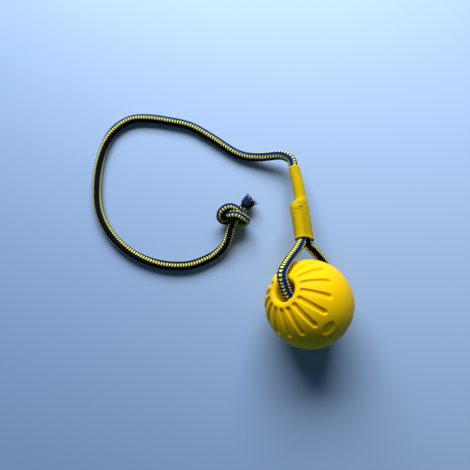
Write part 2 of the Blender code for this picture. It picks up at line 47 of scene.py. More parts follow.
GROOVE_WIDTH = 0.0041
GROOVE_DEPTH = 0.0016
GROOVE_LIP = 0.00055
GROOVE_INNER_ANGLE = radians(26.5)
GROOVE_OUTER_ANGLE = radians(60)
FRONT_GROOVE_TURN = radians(-30)
BACK_GROOVE_TURN = pi / 2 + pi / GROOVE_COUNT
DIMPLE_LENGTH = 0.013
DIMPLE_WIDTH = 0.0095
DIMPLE_DEPTH = 0.0009
DIMPLE_EDGE = (1.1, 0.9)
DIMPLE_POLAR = radians(77)
DIMPLE_TURN = radians(-113)
SEAM_HEIGHT = 0.0002
SEAM_WIDTH = 0.00035
SEAM_LINE = 0.00063
SEAM_LINE_SHARE = 0.6
BALL_BACK = 0.04235
BORE_TILT = radians(46.5)
BORE_AZIMUTH = radians(157)
# How much painted shade a groove's floor gets, as a share of the dimple's, and the mesh's steps
GROOVE_SHADE = 0.4
GROOVE_STEPS = 24
MOUTH_STEPS = 8
FACE_STEPS = 74
WALL_STEPS = 24

# The rope
ROPE_DIAMETER = 0.008
BOUND_ROPE_DIAMETER = 0.0072
CUT_END_DIAMETER = 0.0074
CORE_DIAMETER = 0.0066
SELF_GAP = 0.0005
FIT_GAP = 0.0003
STITCH_PITCH = 0.0024
KNOT_STITCH_PITCH = 0.0020
STITCH_HEIGHT = 0.00042
STITCH_CREST = 0.00012
STITCH_SLANT = 0.35
STITCH_RINGS = 6
# A stitch's fullness along the rope, how round it is across its wale, and how low its ends lie
STITCH_FULLNESS = 0.6
STITCH_ROUNDNESS = 3.4
STITCH_END_SHARE = 0.25
WALE_COUNT = 15
WALE_COLUMNS = 4
YELLOW_WALES = (0.5, 4.0, 8.6, 13.0)
YELLOW_REACH = 1.15

# The sleeve, and where the rope's two parts meet below it
SLEEVE_LENGTH = 0.069
SLEEVE_WALL = 0.0005
SLEEVE_BEND = 0.0020
SLEEVE_BEND_TURN = radians(-46)
SLEEVE_AZIMUTH = radians(95)
SLEEVE_DIP = radians(11.5)
SLEEVE_STEP_RUN = 0.009
SHORT_END_HEIGHT = 0.0265
SHORT_END_RISE = 0.0009
CROTCH_REACH = 0.0166
CROTCH_AZIMUTH = radians(92)
CROTCH_DIP = radians(2.5)

# The seizing thread
THREAD_DIAMETER = 0.0005
THREAD_PITCH = 0.0012
THREAD_TURNS = 14
THREAD_START = 0.0025
THREAD_SPACING = 0.0008
THREAD_COLUMNS = 10
THREAD_BEND_POINTS = 7
THREAD_TWIST = 0.9
THREAD_TWIST_DEPTH = 0.00005

# Measures that follow from these
BALL_RADIUS = BALL_DIAMETER / 2
ROPE_RADIUS = ROPE_DIAMETER / 2
BOUND_RADIUS = BOUND_ROPE_DIAMETER / 2
PAIR_SPREAD = BOUND_ROPE_DIAMETER + SELF_GAP
THREAD_RIDE = BOUND_RADIUS + FIT_GAP + THREAD_DIAMETER / 2
SLEEVE_PAIR_RADIUS = THREAD_RIDE + THREAD_DIAMETER / 2 + FIT_GAP + SLEEVE_WALL
SLEEVE_SINGLE_RADIUS = ROPE_RADIUS + FIT_GAP + SLEEVE_WALL

# The free rope's route, from the sleeve to the knot
LEAD_ROUTE = [
    (-0.0081, 0.0830, 0.0154), (-0.0134, 0.0871, 0.0140), (-0.0194, 0.0889, 0.0122),
    (-0.0263, 0.0887, 0.0102), (-0.0333, 0.0887, 0.0080), (-0.0404, 0.0892, 0.0062),
    (-0.0476, 0.0902, 0.0048), (-0.0548, 0.0924, 0.0041), (-0.0629, 0.0967, 0.0040),
    (-0.0812, 0.1091, 0.0040), (-0.0996, 0.1196, 0.0040), (-0.1180, 0.1241, 0.0040),
    (-0.1365, 0.1268, 0.0040), (-0.1548, 0.1253, 0.0040), (-0.1703, 0.1134, 0.0040),
    (-0.1790, 0.0924, 0.0040), (-0.1819, 0.0671, 0.0040), (-0.1788, 0.0404, 0.0040),
    (-0.1673, 0.0184, 0.0040), (-0.1478, 0.0015, 0.0040), (-0.1235, -0.0077, 0.0040),
    (-0.0983, -0.0085, 0.0040), (-0.0785, -0.0010, 0.0040), (-0.0714, 0.0043, 0.0050),
]

# The knot, in rope diameters
KNOT_PLACE = (-0.0600, 0.0335)
KNOT_SELF_GAP = 0.0006
KNOT_SPACING_SHARE = 0.25
KNOT_BEND_SHARE = 0.54
KNOT_PRESSED_SHARE = 0.86
KNOT_TAPER_STEPS = 7
PRESSED_RADIUS = ROPE_RADIUS * KNOT_PRESSED_SHARE
KNOT_FILL = 0.00025
KNOT_ROUNDS = 300
KNOT_FIXED_ENDS = 3
KNOT_ROUTE_SHARES = [
    (-0.80, -2.86, -0.55), (-0.50, -2.20, -0.50), (-0.24, -1.50, -0.38), (-0.02, -0.90, -0.12),
    (0.25, -0.35, 0.02), (0.70, 0.06, 0.02), (0.92, 0.36, 0.15), (0.52, 0.58, 0.22),
    (-0.05, 0.60, 0.38), (-0.62, 0.56, 0.78), (-1.16, 0.34, 0.80), (-1.40, -0.02, 0.15),
    (-1.10, -0.34, -0.50), (-0.50, -0.44, -0.88), (0.20, -0.50, -0.98), (0.90, -0.54, -0.88),
    (1.34, -0.50, -0.40), (1.36, -0.44, 0.30), (1.00, -0.32, 0.82), (0.42, -0.06, 1.02),
    (-0.15, 0.24, 0.95), (-0.62, 0.40, 0.50), (-0.70, 0.46, -0.05), (-0.25, 0.56, -0.46),
    (0.30, 0.66, -0.56), (0.80, 0.86, -0.54), (1.20, 1.22, -0.48),
]
TAIL_LENGTH = 0.0075
TAIL_SWELL_HEIGHT = 0.0015
TAIL_SWELL_DIAMETER = 0.0098
TAIL_END_DIAMETER = 0.0116

# The core's loose strands in the cut end
STRAND_LENGTH = 0.0035
STRAND_ROOT = 0.0030
STRAND_SINK = 0.0022
STRAND_COUNT = 64
STRAND_SIDES = 6
STRAND_CUTS = 4
STRAND_SPREAD = 0.62
STRAND_SPLAY = (0.25, 0.75)
STRAND_CURVE = 1.6
STRAND_RADII = (0.00034, 0.00055)
STRAND_TIP_SHARE = 0.55
STRAND_PLACE_WANDER = 0.15
STRAND_LEAN_WANDER = 0.5
STRAND_LENGTH_WANDER = 0.0007
GOLDEN_TURN = 2.39996

# The rope in the sleeve and the film over it
SHORT_END_SHARES = [(1, 1, 1), (0.92, 0.85, 1), (0.8, 0.1, 0), (0.6, 0, 0), (0.3, 0, 0),
                    (0.1, 0, 0), (0, 0, 0), (-0.1, 0, 0)]
STANDING_SHARES = [(-0.075, 0), (0, 0), (0.05, 0), (0.2, 0), (0.34, 0), (0.46, 0), (0.56, 1),
                   (0.7, 1), (0.85, 1), (1, 1)]
FILM_RISE_SHARES = [0.35, 0.7, 1]
FILM_STEP_SHARES = [(0.25, 0.98), (0.5, 0.88), (0.72, 0.62), (0.9, 0.25), (1.02, 0.06), (1.15, 0)]
# How much wider than the rope the film stands, at heights above its lower mouth
FILM_SLACK = [(0, 0.0003), (0.004, 0.0001), (0.018, 0.0001), (0.026, 0.0003), (0.034, 0.0002),
              (0.040, 0), (0.069, 0)]
# The film's grid, and what stands out of it: the bridge between the ropes, the thread's ridges,
# the lips at its mouths, lumps and wrinkles
FILM_ROWS = 231
FILM_ROUND_COLUMNS = 34
FILM_FLAT_COLUMNS = 14
FILM_THICKNESS_SHARE = 0.8
BRIDGE_RISE = 0.00015
BRIDGE_CALM = 0.7
THREAD_RIDGE = 0.00019
THREAD_RIDGE_SPAN = (0.0020, 0.0193)
THREAD_RIDGE_FADE = 0.001
LOWER_LIP = 0.0002
LOWER_LIP_RUN = 0.0018
UPPER_TUCK = 0.00022
UPPER_TUCK_RUN = 0.0012
FILM_LUMP = 0.00016
FILM_LUMP_SCALE = 160
FILM_WRINKLE = 0.00030
FILM_WRINKLE_SCALES = (160, 160, 700)
WRINKLE_BELOW = 0.003
WRINKLE_REACH = 0.013
# A crease has a rim on each side, of this share of its depth and this many widths away
CREASE_RIM_SHARE = 0.55
CREASE_RIM_PLACE = 2.1
# The creases over the short end: two places across and up the sleeve, a width and a depth
CREASES = [(0.0114, 0.0260, 0.0090, 0.0257, 0.0007, 0.00065),
           (0.0125, 0.0278, 0.0098, 0.0292, 0.0010, 0.00018)]

# The loop round and through the ball
FRONT_LEG_SHARES = [(65.5, 0.50), (59.5, 0.31), (53, 0.19), (44, 0.09), (34, 0.03)]
MOUTH_ANGLES = [24, -5, -30, -50]
BORE_SHARES = [(0.87, 0.15), (0.74, -0.62), (0.55, -0.93), (0.25, -1), (0, -0.95),
               (-0.25, -1), (-0.55, -0.93), (-0.74, -0.62), (-0.87, 0.15)]
BACK_LEG_SHARES = [(33, 0.08), (45, 0.13), (56, 0.20), (67, 0.28), (79, 0.32), (90, 0.40),
                   (97, 0.52)]

# Spacing of the rough routes, steps of a curve between two places, and the rounds that even them
ROUGH_LOOP_SPACING = 0.0045
ROUGH_LEAD_SPACING = 0.004
CURVE_STEPS = 12
LOOP_ROUNDS = 30
LEAD_ROUNDS = 60
KNOT_LINE_ROUNDS = 6
FILM_ROUNDS = 8

# Which stripe faces up, in wales, at shares of each stretch of rope
LEAD_STRIPES = [(0, 0.97), (0.05, 1.99), (0.1, 2.48), (0.15, 3.14), (0.2, 3.43), (0.25, 3.43),
                (0.3, 3.21), (0.35, 3.19), (0.4, 3.46), (0.45, 3.34), (0.5, 4.55), (0.55, 5),
                (0.6, 5.4), (0.65, 5.8), (0.7, 5.96), (0.75, 6.33), (0.8, 6.94), (0.85, 7.77),
                (0.9, 7.87), (0.95, 7.8), (1, 6.8)]
KNOT_STRIPES = [(0, 7.3), (0.2, 4.7), (0.25, 4.7), (0.3, 5.5), (0.375, 6.0), (0.425, 4.7),
                (0.5, 0.8), (0.6, 0.9), (0.65, 4.8), (0.675, 7.5), (0.75, 8), (0.8, 7.7), (0.85, 11),
                (0.9, 15), (1, 16.1)]
TAIL_STRIPES = [(0, 1.4), (1, 1.4)]
LOOP_STRIPES = [(0, 1.6), (0.1, 1.3), (0.15, 0.8), (0.2, 1.0), (0.25, 1.6), (0.3, 1.2), (0.35, 0.6),
                (0.5, 4.5), (0.6, 6.8), (1, 7)]


def direction(azimuth, elevation):
    return Vector((cos(elevation) * cos(azimuth), cos(elevation) * sin(azimuth), sin(elevation)))


def axes_matrix(origin, x_axis, y_axis, z_axis):
    turn = Matrix((x_axis, y_axis, z_axis)).transposed().to_4x4()
    return Matrix.Translation(origin) @ turn


def smooth_step(value):
    value = np.clip(value, 0, 1)
    return value * value * (3 - 2 * value)


def even_route(points, spacing):
    """A smooth curve through the points, as points of even spacing."""
    p = np.array(points, float)
    padded = np.vstack([2 * p[0] - p[1], p, 2 * p[-1] - p[-2]])
    steps = np.linspace(0, 1, CURVE_STEPS, endpoint=False)[:, None]
    pieces = []
    for k in range(len(p) - 1):
        a, b, c, d = padded[k:k + 4]
        pieces.append(0.5 * (2 * b + (c - a) * steps + (2 * a - 5 * b + 4 * c - d) * steps ** 2
                             + (3 * b - a - 3 * c + d) * steps ** 3))
    curve = np.vstack(pieces + [p[-1:]])
    runs = np.linalg.norm(np.diff(curve[:, :3], axis=0), axis=1)
    along = np.concatenate([[0], np.cumsum(runs)])
    places = np.linspace(0, along[-1], max(2, int(round(along[-1] / spacing)) + 1))
    columns = [np.interp(places, along, curve[:, k]) for k in range(curve.shape[1])]
    return np.stack(columns, axis=1)


def relaxed(points, rounds):
    """Takes the small corners out of an even route and leaves its ends."""
    points = points.copy()
    for _ in range(rounds):
        points[1:-1] += (points[2:] + points[:-2] - 2 * points[1:-1]) / 4
    return points


def ball_frame():
    """The ball's middle, with z along the bore."""
    bore = direction(BORE_AZIMUTH, pi / 2 - BORE_TILT)
    level = bore.cross(Vector((0, 0, 1))).normalized()
    return axes_matrix(Vector((0, -BALL_BACK, BALL_RADIUS)), level, bore.cross(level), bore)


def crotch_frame():
    """The ball's middle, the bore's way, the way across it to the sleeve, and the sleeve's way."""
    ball = ball_frame()
    bore = ball.to_3x3().col[2]
    outward = direction(CROTCH_AZIMUTH, -CROTCH_DIP)
    across = (outward - bore * bore.dot(outward)).normalized()
    return ball.translation, bore, across, outward


def sleeve_frame():
    """Z runs up along the standing part from the sleeve's lower mouth."""
    centre, bore, across, outward = crotch_frame()
    up = direction(SLEEVE_AZIMUTH, -SLEEVE_DIP)
    beside = (bore - outward * outward.dot(bore)).normalized()
    to_short_end = (beside - up * up.dot(beside)).normalized()
    meet = centre + outward * (BALL_RADIUS + CROTCH_REACH)
    return axes_matrix(meet - to_short_end * PAIR_SPREAD / 2, to_short_end,
                       up.cross(to_short_end), up)


def standing_centre(height):
    """The standing part's middle at a height above the sleeve's lower mouth."""
    run = max(0, height - SHORT_END_HEIGHT) / (SLEEVE_LENGTH - SHORT_END_HEIGHT)
    aside = SLEEVE_BEND * run ** 2
    return Vector((aside * cos(SLEEVE_BEND_TURN), aside * sin(SLEEVE_BEND_TURN), height))


def mouth_section():
    """The middle of the bore's rounded mouth, out from the bore's line and along it."""
    reach = BORE_DIAMETER / 2 + MOUTH_ROUNDING
    return reach, sqrt((BALL_RADIUS - MOUTH_ROUNDING) ** 2 - reach ** 2)


def loop_plane_points():
    """The rope round and through the ball, from the short end's leg to the standing part's."""
    centre, bore, across, outward = crotch_frame()
    contact = BALL_RADIUS + ROPE_RADIUS + FIT_GAP
    reach, height = mouth_section()
    corner = MOUTH_ROUNDING + ROPE_RADIUS + 2 * FIT_GAP
    swing = BORE_DIAMETER / 2 - ROPE_RADIUS - 2 * FIT_GAP
    points = []
    for angle, stand_off_share in FRONT_LEG_SHARES:
        ride = contact + stand_off_share * CROTCH_REACH
        points.append((ride * cos(radians(angle)), ride * sin(radians(angle))))
    for angle in MOUTH_ANGLES:
        points.append((height + corner * cos(radians(angle)), reach + corner * sin(radians(angle))))
    for along_share, swing_share in BORE_SHARES:
        points.append((along_share * BALL_RADIUS, swing_share * swing))
    for angle in reversed(MOUTH_ANGLES):
        points.append((-height - corner * cos(radians(angle)), reach + corner * sin(radians(angle))))
    for angle, stand_off_share in BACK_LEG_SHARES:
        ride = contact + stand_off_share * CROTCH_REACH
        points.append((-ride * cos(radians(angle)), ride * sin(radians(angle))))
    return [centre + bore * x + across * y for x, y in points]


def loop_route(spacing):
    """Places and radii from the short end in the sleeve to the sleeve's upper mouth."""
    seat = sleeve_frame()
    short_end = []
    for height_share, rise_share, cut_share in SHORT_END_SHARES:
        place = Vector((PAIR_SPREAD + rise_share * SHORT_END_RISE, 0, height_share * SHORT_END_HEIGHT))
        radius = BOUND_RADIUS + cut_share * (CUT_END_DIAMETER / 2 - BOUND_RADIUS)
        short_end.append((*(seat @ place), radius))
    loop = [(*place, ROPE_RADIUS) for place in loop_plane_points()]
    standing = []
    for height_share, free_share in STANDING_SHARES:
        place = standing_centre(height_share * SLEEVE_LENGTH)
        radius = BOUND_RADIUS + free_share * (ROPE_RADIUS - BOUND_RADIUS)
        standing.append((*(seat @ place), radius))
    rough = even_route(short_end + loop + standing, ROUGH_LOOP_SPACING)
    fine = relaxed(even_route(rough, spacing), LOOP_ROUNDS)
    return fine[:, :3], fine[:, 3]


def knot_shares():
    """The knot's centre line in rope diameters, laid from the chosen places."""
    points = even_route(KNOT_ROUTE_SHARES, KNOT_SPACING_SHARE)
    least = KNOT_PRESSED_SHARE + KNOT_SELF_GAP / ROPE_DIAMETER
    near = int(np.ceil(pi * least / 2 / KNOT_SPACING_SHARE)) + 1
    first, second = np.triu_indices(len(points), near)
    spacing = np.linalg.norm(np.diff(points, axis=0), axis=1).mean()
    hold = 2 * KNOT_BEND_SHARE * sin(spacing / KNOT_BEND_SHARE)
    free = np.ones((len(points), 1))
    free[:KNOT_FIXED_ENDS] = 0
    free[-KNOT_FIXED_ENDS:] = 0
    for _ in range(KNOT_ROUNDS):
        move = np.zeros_like(points)
        step = points[1:] - points[:-1]
        length = np.linalg.norm(step, axis=1, keepdims=True)
        push = step * (1 - spacing / length) / 4
        move[:-1] += push
        move[1:] -= push
        step = points[2:] - points[:-2]
        length = np.linalg.norm(step, axis=1, keepdims=True)
        push = step * np.minimum(0, 1 - hold / length) / 4
        move[:-2] += push
        move[2:] -= push
        move[1:-1] += (points[2:] + points[:-2] - 2 * points[1:-1]) / 50
        step = points[second] - points[first]
        length = np.linalg.norm(step, axis=1)
        close = length < least
        push = step[close] * ((1 - least / length[close]) / 3)[:, None]
        np.add.at(move, first[close], push)
        np.add.at(move, second[close], -push)
        points = points + move * free
    return points


def knot_points():
    shares = knot_shares()
    lift = PRESSED_RADIUS - ROPE_DIAMETER * shares[:, 2].min()
    return shares * ROPE_DIAMETER + np.array((*KNOT_PLACE, lift))


def lead_points(knot):
    """The free rope's points, from the sleeve's upper mouth to the knot."""
    seat = sleeve_frame()
    end = standing_centre(SLEEVE_LENGTH)
    onward = (end - standing_centre(SLEEVE_LENGTH - ROPE_DIAMETER)).normalized()
    start = seat @ end
    after = seat @ (end + onward * (2 * FIT_GAP + ROPE_RADIUS))
    back = (knot[0] - knot[1]) / np.linalg.norm(knot[0] - knot[1])
    return [start, after, *LEAD_ROUTE, knot[0] + back * ROPE_RADIUS, knot[0]]


def tangents_of(points):
    steps = np.gradient(points, axis=0)
    return steps / np.linalg.norm(steps, axis=1, keepdims=True)


def carried_normals(tangents, first):
    """Normals carried along a route without turning about it."""
    normals = np.zeros_like(tangents)
    normal = np.array(first, float)
    for k, tangent in enumerate(tangents):
        normal = normal - tangent * normal.dot(tangent)
        normal /= np.linalg.norm(normal)
        normals[k] = normal
    return normals


def mesh_object(name, shape, smooth=True):
    """Turns a finished bmesh into an object at the origin."""
    mesh = bpy.data.meshes.new(name)
    shape.to_mesh(mesh)
    shape.free()
    if smooth:
        mesh.shade_smooth()
    piece = bpy.data.objects.new(name, mesh)
    bpy.context.scene.collection.objects.link(piece)
    return piece


def laid_grid(places, u_span, v_span, closed_ends):
    """A skin over rows of places that close round. Its UV map runs over the given spans."""
    rows, columns = places.shape[:2]
    shape = bmesh.new()
    layer = shape.loops.layers.uv.new("UVMap")
    bmesh.ops.create_grid(shape, x_segments=columns, y_segments=rows - 1, size=1, calc_uvs=True)
    shape.verts.ensure_lookup_table()
    flat = places.tolist()
    for row in range(rows):
        ring = flat[row]
        for column in range(columns + 1):
            shape.verts[row * (columns + 1) + column].co = ring[column % columns]
    for face in shape.faces:
        for loop in face.loops:
            loop[layer].uv.x *= u_span
            loop[layer].uv.y *= v_span
    bmesh.ops.remove_doubles(shape, verts=shape.verts, dist=1e-7)
    if closed_ends:
        rims = [edge for edge in shape.edges if edge.is_boundary]
        bmesh.ops.holes_fill(shape, edges=rims, sides=0)
        bmesh.ops.recalc_face_normals(shape, faces=shape.faces)
    return shape


def tube_places(centres, radii, turns, columns, relief):
    """Rings round a route, less the relief. Each turn, in radians, says which column faces up."""
    tangents = tangents_of(centres)
    normals = carried_normals(tangents, (0, 0, 1))
    lefts = np.cross(normals, tangents)
    angles = 2 * pi * np.arange(columns)[None, :] / columns - turns[:, None]
    reach = np.repeat(radii[:, None], columns, axis=1) - relief
    around = (np.cos(angles)[..., None] * normals[:, None, :]
              + np.sin(angles)[..., None] * lefts[:, None, :])
    return centres[:, None, :] + reach[..., None] * around


def knit_relief(stitches, columns):
    """How far the knit lies under the rope's own radius.

    A plain stitch keeps to its own wale. A proud one is yellow and reaches over the next wales.
    """
    wales = np.arange(columns)[None, :] / WALE_COLUMNS
    half = WALE_COUNT / 2
    away = np.min([half - np.abs((wales - middle) % WALE_COUNT - half)
                   for middle in YELLOW_WALES], axis=0)
    ring = np.round(away)
    within = np.abs(away - ring)
    rows = stitches[:, None]
    phase = 2 * pi * (rows + STITCH_SLANT * within + ring / 2)
    tooth = (0.5 - 0.5 * np.cos(phase)) ** STITCH_FULLNESS
    arch = np.sqrt(1 - STITCH_ROUNDNESS * within ** 2)
    plain = arch * (STITCH_END_SHARE + (1 - STITCH_END_SHARE) * tooth)
    phase = 2 * pi * (rows + STITCH_SLANT * away)
    tooth = (0.5 - 0.5 * np.cos(phase)) ** STITCH_FULLNESS
    proud = np.sqrt(np.clip(1 - (away / YELLOW_REACH) ** 2, 0, 1)) * tooth
    return STITCH_HEIGHT * (1 - np.maximum(plain, proud)) - STITCH_CREST


def striped_rope(name, centres, radii, stripes, first_stitch, pitch=STITCH_PITCH):
    """A length of the striped rope, with its knit in relief."""
    columns = WALE_COUNT * WALE_COLUMNS
    shares = np.linspace(0, 1, len(centres))
    up_wales = np.interp(shares, [s for s, _ in stripes], [w for _, w in stripes])
    runs = np.linalg.norm(np.diff(centres, axis=0), axis=1)
    stitches = first_stitch + np.concatenate([[0], np.cumsum(runs)]) / pitch
    turns = up_wales * 2 * pi / WALE_COUNT
    places = tube_places(centres, radii, turns, columns, knit_relief(stitches, columns))
    shape = laid_grid(places, WALE_COUNT, stitches[-1] - stitches[0], True)
    layer = shape.loops.layers.uv.active
    for face in shape.faces:
        for loop in face.loops:
            loop[layer].uv.y += first_stitch
    return mesh_object(name, shape), stitches[-1]


def ball_section():
    """The ball's half section, from the upper mouth down the outside and back up the bore."""
    reach, height = mouth_section()
    polar = atan2(reach, height)
    upper = []
    for k in range(MOUTH_STEPS + 1):
        angle = pi + (pi / 2 - polar - pi) * k / MOUTH_STEPS
        upper.append((reach + MOUTH_ROUNDING * cos(angle), height + MOUTH_ROUNDING * sin(angle)))
    for k in range(1, FACE_STEPS + 1):
        angle = polar + (pi / 2 - polar) * k / FACE_STEPS
        upper.append((BALL_RADIUS * sin(angle), BALL_RADIUS * cos(angle)))
    lower = [(x, -z) for x, z in reversed(upper[:-1])]
    wall = [(BORE_DIAMETER / 2, -height + 2 * height * k / WALL_STEPS) for k in range(1, WALL_STEPS)]
    return upper + lower + wall


def groove_cover(points, first_turn):
    """How far each point lies in a ring of grooves: 0 outside them and 1 on their floors."""
    size = np.linalg.norm(points, axis=1)
    polar = np.arccos(np.clip(np.abs(points[:, 2]) / size, 0, 1))
    step = 2 * pi / GROOVE_COUNT
    off = np.arctan2(points[:, 1], points[:, 0]) - first_turn
    off = (off + step / 2) % step - step / 2
    past = polar - np.clip(polar, GROOVE_INNER_ANGLE, GROOVE_OUTER_ANGLE)
    away = np.hypot(size * np.sin(polar) * off, size * past)
    return smooth_step((GROOVE_WIDTH / 2 + GROOVE_LIP / 2 - away) / (2 * GROOVE_LIP))


def make_ball():
    """The foam ball: a turned ball with a bore, two rings of grooves, a dimple and a seam. Its
    grooves, its dimple and a thin line beside its seam carry painted shade.
    """
    shape = bmesh.new()
    section = [shape.verts.new((x, 0, z)) for x, z in ball_section()]
    edges = [shape.edges.new((section[k - 1], section[k])) for k in range(len(section))]
    bmesh.ops.spin(shape, geom=section + edges, cent=(0, 0, 0), axis=(0, 0, 1), dvec=(0, 0, 0),
                   angle=2 * pi, steps=GROOVE_COUNT * GROOVE_STEPS, use_merge=True)
    bmesh.ops.remove_doubles(shape, verts=shape.verts, dist=1e-7)
    bmesh.ops.recalc_face_normals(shape, faces=shape.faces)
    piece = mesh_object("foam_ball", shape)
    mesh = piece.data
    points = np.empty(len(mesh.vertices) * 3)
    mesh.vertices.foreach_get("co", points)
    points = points.reshape(-1, 3)
    size = np.linalg.norm(points, axis=1)
    outside = size > BALL_RADIUS - MOUTH_ROUNDING / 4
    front = np.where(points[:, 2] > 0, groove_cover(points, FRONT_GROOVE_TURN), 0)
    back = np.where(points[:, 2] < 0, groove_cover(points, BACK_GROOVE_TURN), 0)
    hollow = np.where(outside, front + back, 0)
    turned = Matrix.Rotation(DIMPLE_TURN, 3, "Z") @ Matrix.Rotation(DIMPLE_POLAR - pi / 2, 3, "Y")
    local = points @ np.array(turned)
    oval = (2 * local[:, 1] / DIMPLE_LENGTH) ** 2 + (2 * local[:, 2] / DIMPLE_WIDTH) ** 2
    rim, fade = DIMPLE_EDGE
    dimple = np.where((local[:, 0] > 0) & outside, smooth_step((rim - oval) / fade), 0)
    along = points[:, 2].copy()
    seam = np.where(outside, np.exp(-(along / SEAM_WIDTH) ** 2)
                    - SEAM_LINE_SHARE * np.exp(-((along - SEAM_LINE) / SEAM_WIDTH) ** 2), 0)
    depth = GROOVE_DEPTH * hollow + DIMPLE_DEPTH * dimple - SEAM_HEIGHT * seam
    points = points * (1 - depth / size)[:, None]
    seat = np.array(ball_frame())
    points = points @ seat[:3, :3].T + seat[:3, 3]
    mesh.vertices.foreach_set("co", points.ravel())
    # Painted shade: the grooves' floors, the dimple and a thin line beside the seam are marked to be
    # painted darker and more orange
    shade = mesh.attributes.new("hollow", "FLOAT", "POINT")
    # Painted shade: a thin dark line in the small groove beside the seam's ridge
    beside = np.where(outside, np.exp(-((along - SEAM_LINE) / SEAM_LINE) ** 2), 0)
    shade.data.foreach_set("value", np.maximum(np.maximum(GROOVE_SHADE * hollow, dimple), beside))
    mesh.update()
    return piece


def sleeve_rows(heights):
    """Spread and radius of the sleeve's sections at the given heights."""
    rise = PAIR_SPREAD + SHORT_END_RISE
    end = SHORT_END_HEIGHT + FIT_GAP + SLEEVE_WALL
    flat = SHORT_END_HEIGHT - SLEEVE_STEP_RUN
    known = [(0, PAIR_SPREAD, SLEEVE_PAIR_RADIUS), (flat, PAIR_SPREAD, SLEEVE_PAIR_RADIUS)]
    for share in FILM_RISE_SHARES:
        spread = PAIR_SPREAD + SHORT_END_RISE * share
        known.append((flat + (end - flat) * share, spread, SLEEVE_PAIR_RADIUS))
    for share, spread_share in FILM_STEP_SHARES:
        radius = SLEEVE_PAIR_RADIUS + (SLEEVE_SINGLE_RADIUS - SLEEVE_PAIR_RADIUS) * min(1, share)
        known.append((end + SLEEVE_STEP_RUN * share, rise * spread_share, radius))
    known.append((SLEEVE_LENGTH, 0, SLEEVE_SINGLE_RADIUS))
    places = [row[0] for row in known]
    spreads = np.interp(heights, places, [row[1] for row in known])
    radii = np.interp(heights, places, [row[2] for row in known])
    radii += np.interp(heights, [row[0] for row in FILM_SLACK], [row[1] for row in FILM_SLACK])
    return relaxed(spreads, FILM_ROUNDS), relaxed(radii, FILM_ROUNDS)


def make_sleeve():
    """The shrunk film, with its creases over the short end, its wrinkles and the thread's ridges."""
    half, flat = FILM_ROUND_COLUMNS, FILM_FLAT_COLUMNS
    heights = np.linspace(0, SLEEVE_LENGTH, FILM_ROWS)
    spreads, radii = sleeve_rows(heights)
    side = np.concatenate([np.ones(half), np.linspace(1, 0, flat + 2)[1:-1], np.zeros(half),
                           np.linspace(0, 1, flat + 2)[1:-1]])
    turn = np.concatenate([np.linspace(-pi / 2, pi / 2, half), np.full(flat, pi / 2),
                           np.linspace(pi / 2, 3 * pi / 2, half), np.full(flat, 3 * pi / 2)])
    out = np.stack([np.cos(turn), np.sin(turn)], axis=1)
    x = side[None, :] * spreads[:, None] + radii[:, None] * out[None, :, 0]
    y = radii[:, None] * out[None, :, 1]
    z = np.repeat(heights[:, None], len(turn), axis=1)
    bridged = (1 - (2 * side - 1) ** 2)[None, :] * smooth_step(spreads / PAIR_SPREAD)[:, None]
    relief = BRIDGE_RISE * bridged
    first, last = THREAD_RIDGE_SPAN
    wound = smooth_step((z - first) / THREAD_RIDGE_FADE) * smooth_step((last - z) / THREAD_RIDGE_FADE)
    ridges = THREAD_RIDGE * wound * np.cos(2 * pi * z / THREAD_PITCH)
    relief += ridges * (1 - BRIDGE_CALM * bridged)
    for x0, z0, x1, z1, width, depth in CREASES:
        run = np.clip(((x - x0) * (x1 - x0) + (z - z0) * (z1 - z0))
                      / ((x1 - x0) ** 2 + (z1 - z0) ** 2), 0, 1)
        away = np.hypot(x - x0 - run * (x1 - x0), z - z0 - run * (z1 - z0)) / width
        rim = CREASE_RIM_SHARE * np.exp(-(away - CREASE_RIM_PLACE) ** 2)
        relief += np.where(y > 0, depth * (rim - np.exp(-away ** 2)), 0)
    relief += LOWER_LIP * np.exp(-(z / LOWER_LIP_RUN) ** 2)
    relief -= UPPER_TUCK * smooth_step((z - SLEEVE_LENGTH + UPPER_TUCK_RUN) / UPPER_TUCK_RUN)
    wrinkled = np.exp(-((z - SHORT_END_HEIGHT + WRINKLE_BELOW) / WRINKLE_REACH) ** 2)
    for row in range(FILM_ROWS):
        for column in range(len(turn)):
            spot = Vector((x[row, column], y[row, column], z[row, column]))
            relief[row, column] += FILM_LUMP * noise.noise(spot * FILM_LUMP_SCALE)
            relief[row, column] += FILM_WRINKLE * wrinkled[row, column] * noise.noise(
                spot * Vector(FILM_WRINKLE_SCALES))
    middles = np.array([standing_centre(height)[:] for height in heights])
    places = np.stack([x + relief * out[None, :, 0], y + relief * out[None, :, 1], 0 * z], axis=2)
    places += middles[:, None, :]
    seat = np.array(sleeve_frame())
    places = places @ seat[:3, :3].T + seat[:3, 3]
    piece = mesh_object("film_sleeve", laid_grid(places, 1, 1, False))
    film = piece.modifiers.new("film", "SOLIDIFY")
    film.thickness = SLEEVE_WALL * FILM_THICKNESS_SHARE
    film.offset = -1
    film.use_even_offset = True
    return piece


